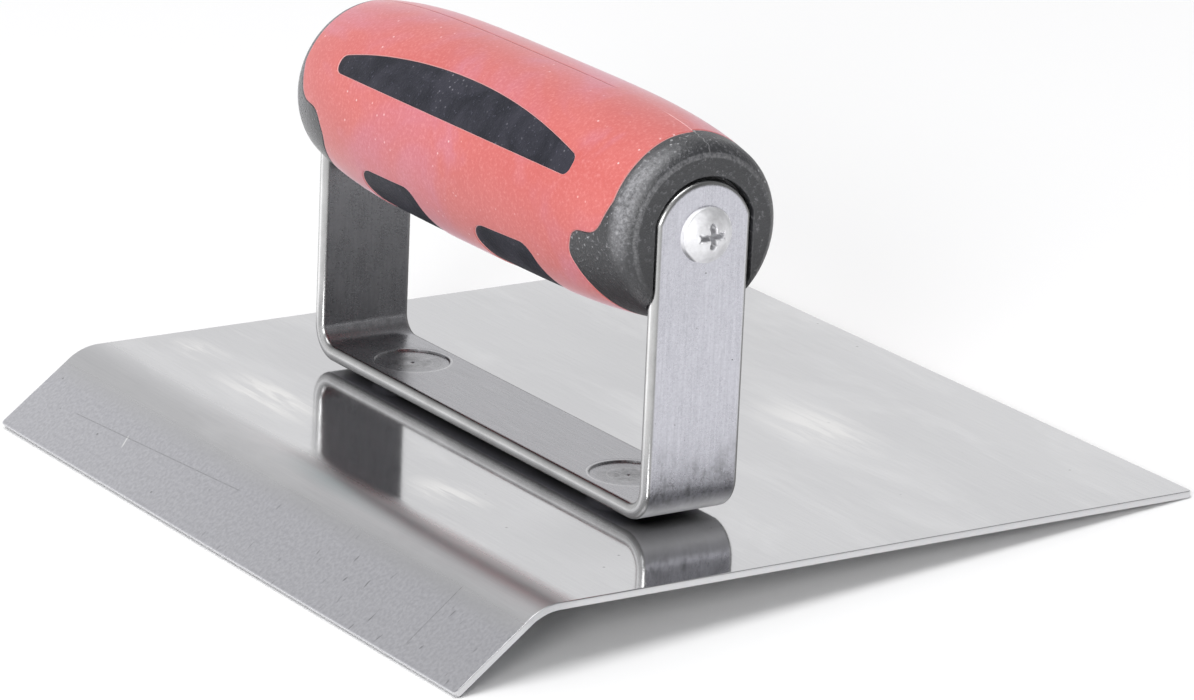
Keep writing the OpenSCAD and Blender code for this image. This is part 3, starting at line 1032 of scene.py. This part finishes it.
def strap_steel():
    paint = Paint("strap_steel", Metallic=1.0)
    run, depth = abs(paint.v), paint.depth
    speck = paint.surface().noise(2400, 3, 0.7)
    grain = paint.surface(1, 0.04).noise(2600, 3, 0.65)
    mottle = paint.surface(1, 0.5).noise(260, 4, 0.7)
    blots = paint.surface(1, 0.6).noise(620, 4, 0.75)
    burnt = paint.surface().noise(420, 4, 0.7, 1.5)
    shade = speck.span(0.3, 0.7, -0.22, 0.22) + grain.span(0.3, 0.7, -0.14, 0.14)
    shade = shade + mottle.span(0.35, 0.65, -0.1, 0.1) + 0.5
    # Along the right edge's rounding the outer face is painted near white and made rougher: a painted
    # highlight.
    far_edge_highlight = paint.u.mm(8.0, 8.6)
    outer = (far_edge_highlight * 0.9).mix(shade.mix(grey(0.41, 0.1), grey(0.71, 0.08)), grey(0.97))
    # The inner faces, the base's top and the legs' insides, are painted darker than the outer faces, and
    # the legs' insides darker again: painted shade.
    inner = shade.mix(grey(0.25, 0.05), grey(0.52, 0.05))
    inner = (run.mm(BASE_HALF + 1, BASE_HALF + 9) * 0.4).mix(inner, grey(0.16, 0.06))
    colour = depth.mm(1.0, 1.9).mix(inner, outer)
    low = run.mm(BASE_HALF + 3, BASE_HALF + 8) * run.mm(BASE_HALF + 18, BASE_HALF + 9)
    colour = (low * (mottle + blots).span(0.96, 1.14, 0.0, 0.65)).mix(colour, grey(0.2, 0.05))
    # The outer face round the bends is painted near white and made rougher: a painted highlight standing
    # in for light reflected there.
    bend_highlight = band(run, BASE_HALF - 1, BASE_HALF + 5, 3) * depth.mm(1.9, 2.7)
    colour = (bend_highlight * 0.8).mix(colour, grey(0.95))
    # The base's underside is painted near black towards its middle: painted shade in the gap over the
    # blade.
    under = depth.mm(2.5, 2.7) * run.mm(BASE_HALF + 2, BASE_HALF - 2)
    colour = (under * abs(paint.u).mm(8.2, 4, 0, 0.9)).mix(colour, grey(0.04))
    ring = paint.from_weld()
    top = depth.mm(0.1, 0)
    dark = ring.mm(6.6, 2.5) * burnt.span(0.35, 0.6, 0.15, 0.85) * top
    colour = dark.mix(colour, grey(0.15, 0.04))
    for radius, half, level, much in WELD_RINGS:
        drawn = abs(ring - radius * MM).mm(half, 0) * burnt.span(0.3, 0.55, 0.3 * much, much) * top
        colour = drawn.mix(colour, grey(level))
    colour = paint.surface().noise(1100, 1, 0.5).span(0.77, 0.82).mix(colour, grey(0.15))
    middle = abs(depth - STRAP_T / 2 * MM)
    # The side walls get painted highlight and shade lines across their thickness: a bright crown on the
    # legs, and on the base a dark top line, a bright line and a darker lower part.
    leg_wall_shading = middle.mm(0, STRAP_T / 2).ramp(
        (0, 1), (0.12, 0.95), (0.24, 0.66), (0.5, 0.56), (0.72, 0.5), (1, 0.3))
    base_wall_shading = depth.mm(0, STRAP_T).ramp(
        (0, 0.08), (0.12, 0.3), (0.3, 0.55), (0.42, 0.95),
        (0.5, 0.66), (0.64, 0.5), (0.82, 0.42), (1, 0.34))
    wall = run.mm(BASE_HALF, BASE_HALF + 5).mix(base_wall_shading, leg_wall_shading)
    wall = (mottle.span(0.4, 0.65) * 0.3).mix(wall, grey(0.5), "MULTIPLY")
    edge = middle.mm(STRAP_T / 2 - 0.01, STRAP_T / 2 - 0.06)
    rough = (speck + mottle).span(0.7, 1.3, 0.22, 0.36).math("MINIMUM", edge.span(0, 1, 1, 0.27))
    soft = under.math("MAXIMUM", bend_highlight).math("MAXIMUM", far_edge_highlight)
    return paint.finish(
        Base_Color=edge.mix(colour, wall),
        Roughness=rough + soft * 0.4,
        Normal=speck.bump(0.00003, 0.4, grain.bump(0.00002, 0.4)))


def screw_steel():
    paint = Paint("screw_steel", Metallic=1.0)
    wear = paint.space.noise(900, 4, 0.65)
    zinc = wear.span(0.3, 0.7).mix(grey(0.78, 0.02), grey(0.93, 0.02))
    # The cross recess is painted darker, in blotches: painted shade.
    shaded_recess = wear.mix(grey(0.3, 0.03), grey(0.85, 0.03))
    zinc = paint.depth.mm(0.15, 0.5).mix(zinc, shaded_recess)
    # A grey crescent along the head's lower left rim: painted shade.
    low = paint.u * -0.72 + paint.v * -0.69
    return paint.finish(
        Base_Color=low.mm(4.35, 4.65).mix(zinc, grey(0.4, 0.03)),
        Roughness=wear.span(0.3, 0.7, 0.52, 0.66),
        Normal=wear.bump(0.00003, 0.4))


def weld_steel():
    paint = Paint("weld_steel", Metallic=1.0)
    burn = paint.space.noise(500, 4, 0.6)
    return paint.finish(
        Base_Color=burn.mix(grey(0.2), grey(0.5, 0.1)),
        Roughness=burn.span(0.3, 0.7, 0.35, 0.6),
        Normal=burn.bump(0.0001, 0.5))


def soft_red():
    paint = Paint("soft_red", Specular_IOR_Level=0.55, Sheen_Weight=0.55, Sheen_Roughness=0.35,
                  Sheen_Tint=(0.93, 0.9, 1.0, 1))
    cloud = paint.space.noise(70, 4, 0.6, 0.4)
    fine = paint.space.noise(1700, 3, 0.7)
    hue = paint.surface().noise(42, 3, 0.6, 0.8)
    body = cloud.span(0.3, 0.7).mix((0.545, 0.102, 0.09, 1), (0.59, 0.136, 0.122, 1))
    body = hue.span(0.46, 0.62).mix(body, (0.56, 0.15, 0.18, 1))
    body = fine.span(0.3, 0.5, 0.4, 0).mix(body, (0.50, 0.08, 0.075, 1))
    body = fine.span(0.52, 0.78, 0, 0.45).mix(body, (0.78, 0.34, 0.34, 1))
    some = paint.space.noise(70, 2, 0.6)
    dust = paint.space.cells(480).span(0.12, 0.05) * some.span(0.48, 0.6, 0.0, 0.75)
    body = dust.mix(body, (0.90, 0.66, 0.66, 1))
    dash = paint.surface(0, 1, 0).noise(420, 2, 0.6).span(0.34, 0.5, 0.35, 1.0)
    groove = paint.line(GROOVE_U, 0.16) * paint.v.mm(-26, -24)
    ridge = paint.line(PARTING_U, 0.13) * paint.v.mm(-38, -41)
    # Dashed lines along the mould's seams: dark in the groove, painted shade, and light on the ridge, a
    # painted highlight.
    body = (groove * dash).mix(body, (0.30, 0.03, 0.04, 1))
    body = (ridge * dash).mix(body, (0.93, 0.55, 0.53, 1))
    # The outer parts of the rounded edges, and the walls, are painted a lighter pink: a painted highlight
    # along the sleeve's edges.
    return paint.finish(
        Base_Color=paint.depth.mm(0.06, 0.16).mix(body, (0.86, 0.42, 0.41, 1)),
        Roughness=cloud.span(0.3, 0.7, 0.44, 0.56),
        Normal=fine.bump(0.00005, 0.5))


def core_black():
    paint = Paint("core_black", Specular_IOR_Level=0.25)
    fine = paint.space.noise(1700, 3, 0.7)
    cloud = paint.space.noise(130, 4, 0.65, 0.5)
    body = cloud.span(0.38, 0.62).mix((0.008, 0.009, 0.016, 1), (0.026, 0.026, 0.038, 1))
    body = fine.span(0.6, 0.75).mix(body, (0.09, 0.09, 0.12, 1))
    dust = paint.space.cells(900).span(0.2, 0.12) * cloud.span(0.5, 0.66, 0, 0.6)
    return paint.finish(
        Base_Color=dust.mix(body, (0.3, 0.3, 0.34, 1)),
        Roughness=fine.span(0.3, 0.7, 0.42, 0.62),
        Normal=fine.bump(0.00012, 0.6))


def cap_charcoal():
    paint = Paint("cap_charcoal", Specular_IOR_Level=0.74)
    run = abs(paint.v)
    fine = paint.space.noise(1500, 3, 0.7)
    cloud = paint.space.noise(90, 3, 0.6)
    body = cloud.mix((0.018, 0.019, 0.022, 1), (0.034, 0.035, 0.039, 1))
    body = fine.span(0.55, 0.75, 0, 0.8).mix(body, (0.2, 0.2, 0.215, 1))
    dust = paint.space.cells(620).span(0.16, 0.09) * cloud.span(0.46, 0.58, 0, 0.9)
    body = dust.mix(body, (0.55, 0.55, 0.57, 1))
    sway = paint.surface(0, 1, 0).noise(700, 1, 0.5).span(0.2, 0.8, -0.5 * MM, 0.5 * MM)
    scar = paint.line(PARTING_U, 0.14, sway) * run.mm(CREST_AT - 0.2, CREST_AT - 0.6)
    body = (scar * 0.7).mix(body, (0.26, 0.26, 0.27, 1))
    # A grainy light ring on the crest between rim and face, fading out on the right side: a painted
    # highlight.
    crest_highlight_grain = paint.surface().noise(1100, 3, 0.8).span(0.35, 0.65, 0.05, 0.55)
    crest_highlight = band(run, CREST_AT - 0.25, FACE_AT + 0.1, 0.25) * crest_highlight_grain * paint.u.mm(26, 6)
    body = crest_highlight.mix(body, (0.26, 0.26, 0.27, 1))
    glints = fine.span(0.63, 0.7, 0, 0.8) * run.mm(CREST_AT - 1.5, CREST_AT - 3)
    body = glints.mix(body, (0.5, 0.5, 0.52, 1))
    # A lighter, speckled patch on the front cap's upper left shoulder: a painted highlight.
    shoulder_highlight = paint.patch(-20, -50.6, 17, 2.6) * fine.span(0.3, 0.62, 0.15, 0.9)
    body = shoulder_highlight.mix(body, (0.3, 0.3, 0.315, 1))
    # The caps are painted darker towards the bottom: painted shade.
    body = abs(paint.u).mm(29, 40, 0, 0.9).mix(body, (0.005, 0.005, 0.007, 1))
    # The rear cap is painted a lighter, cloudy grey: a painted sheen for the bright surroundings it
    # reflects.
    rear = paint.v.mm(42, 50)
    rear_cap_sheen = rear * cloud.span(0.35, 0.6, 0.35, 0.8)
    return paint.finish(
        Base_Color=rear_cap_sheen.mix(body, (0.19, 0.19, 0.2, 1)),
        Roughness=fine.span(0.3, 0.7, 0.30, 0.46) - rear * 0.1,
        Normal=fine.bump(0.00024, 0.9))


def floor_white():
    paint = Paint("floor_white", Specular_IOR_Level=0.1, Roughness=0.9)
    return paint.finish(Base_Color=paint.space.noise(3, 2, 0.5).mix(grey(0.9), grey(0.93)))


# Stage -----------------------------------------

def floor():
    mesh = bpy.data.meshes.new("floor")
    half = 6
    corners = [(-half, -half, 0), (half, -half, 0), (half, half, 0), (-half, half, 0)]
    mesh.from_pydata(corners, [], [(0, 1, 2, 3)])
    mesh.materials.append(floor_white())
    plane = in_scene("floor", mesh)


def soft_light(name, at, size, power):
    lamp = bpy.data.lights.new(name, "AREA")
    lamp.shape = "DISK"
    lamp.size = size
    lamp.energy = power
    holder = in_scene(name, lamp)
    holder.location = at
    holder.rotation_euler = (-Vector(at)).to_track_quat("-Z", "Y").to_euler()


def sky():
    """A studio's surroundings: bright low down behind and to the left, dim to the front and overhead."""
    world = bpy.data.worlds.new("studio")
    bpy.context.scene.world = world
    world.use_nodes = True
    tree = world.node_tree
    at = make(tree, "TexCoord", (), "Generated")
    side = make(tree, "VectorMath", {0: at, 1: (-0.75, 0.66, 0)}, "Value", operation="DOT_PRODUCT")
    strength = side.span(-0.8, 0.0, 0.38, 1.0, interpolation_type="SMOOTHSTEP")
    height = make(tree, "SeparateXYZ", {0: at}, "Z")
    colour = height.ramp((0, 1), (0.42, 0.97, 0.01), (0.62, 0.6, 0.01), (0.8, 0.5, 0.01), (1, 0.5, 0.02))
    background = tree.nodes["Background"]
    tree.links.new(colour.socket, background.inputs["Color"])
    tree.links.new(strength.socket, background.inputs["Strength"])


def camera():
    """The photograph's viewpoint: left of the front end and above, with a long lens."""
    lens = bpy.data.cameras.new("view")
    lens.sensor_width = 36
    lens.lens = 180.6
    lens.clip_start = 0.05
    azimuth, elevation, roll = math.radians(-32.47), math.radians(19.65), math.radians(-1.58)
    level = math.cos(elevation)
    back = Vector((math.sin(azimuth) * level, -math.cos(azimuth) * level, math.sin(elevation)))
    target = Vector((0.0015, -0.0031, 0.0211))
    distance = 1.026
    holder = in_scene("view", lens)
    holder.rotation_mode = "QUATERNION"
    turn = (-back).to_track_quat("-Z", "Y").to_matrix() @ Matrix.Rotation(roll, 3, "Z")
    holder.rotation_quaternion = turn.to_quaternion()
    holder.location = target + back * distance
    bpy.context.scene.camera = holder


camera()
sky()
floor()
soft_light("key", (-1.13, -0.98, 0.6), 0.5, 9)
soft_light("top", (-0.3, -0.1, 1.8), 1.3, 19)
bpy.context.scene.view_settings.view_transform = "Standard"

blade(blade_steel())
bracket(strap_steel())
core(core_black())
sleeve(soft_red())
charcoal = cap_charcoal()
end_cap(-1, "front_cap_moulding", "end_cap_front", charcoal)
end_cap(1, "rear_cap_moulding", "end_cap_rear", charcoal)
screws(screw_steel())
welds = frame["nodes"]["spot_welds"]
welds.data.materials.clear()
welds.data.materials.append(weld_steel())
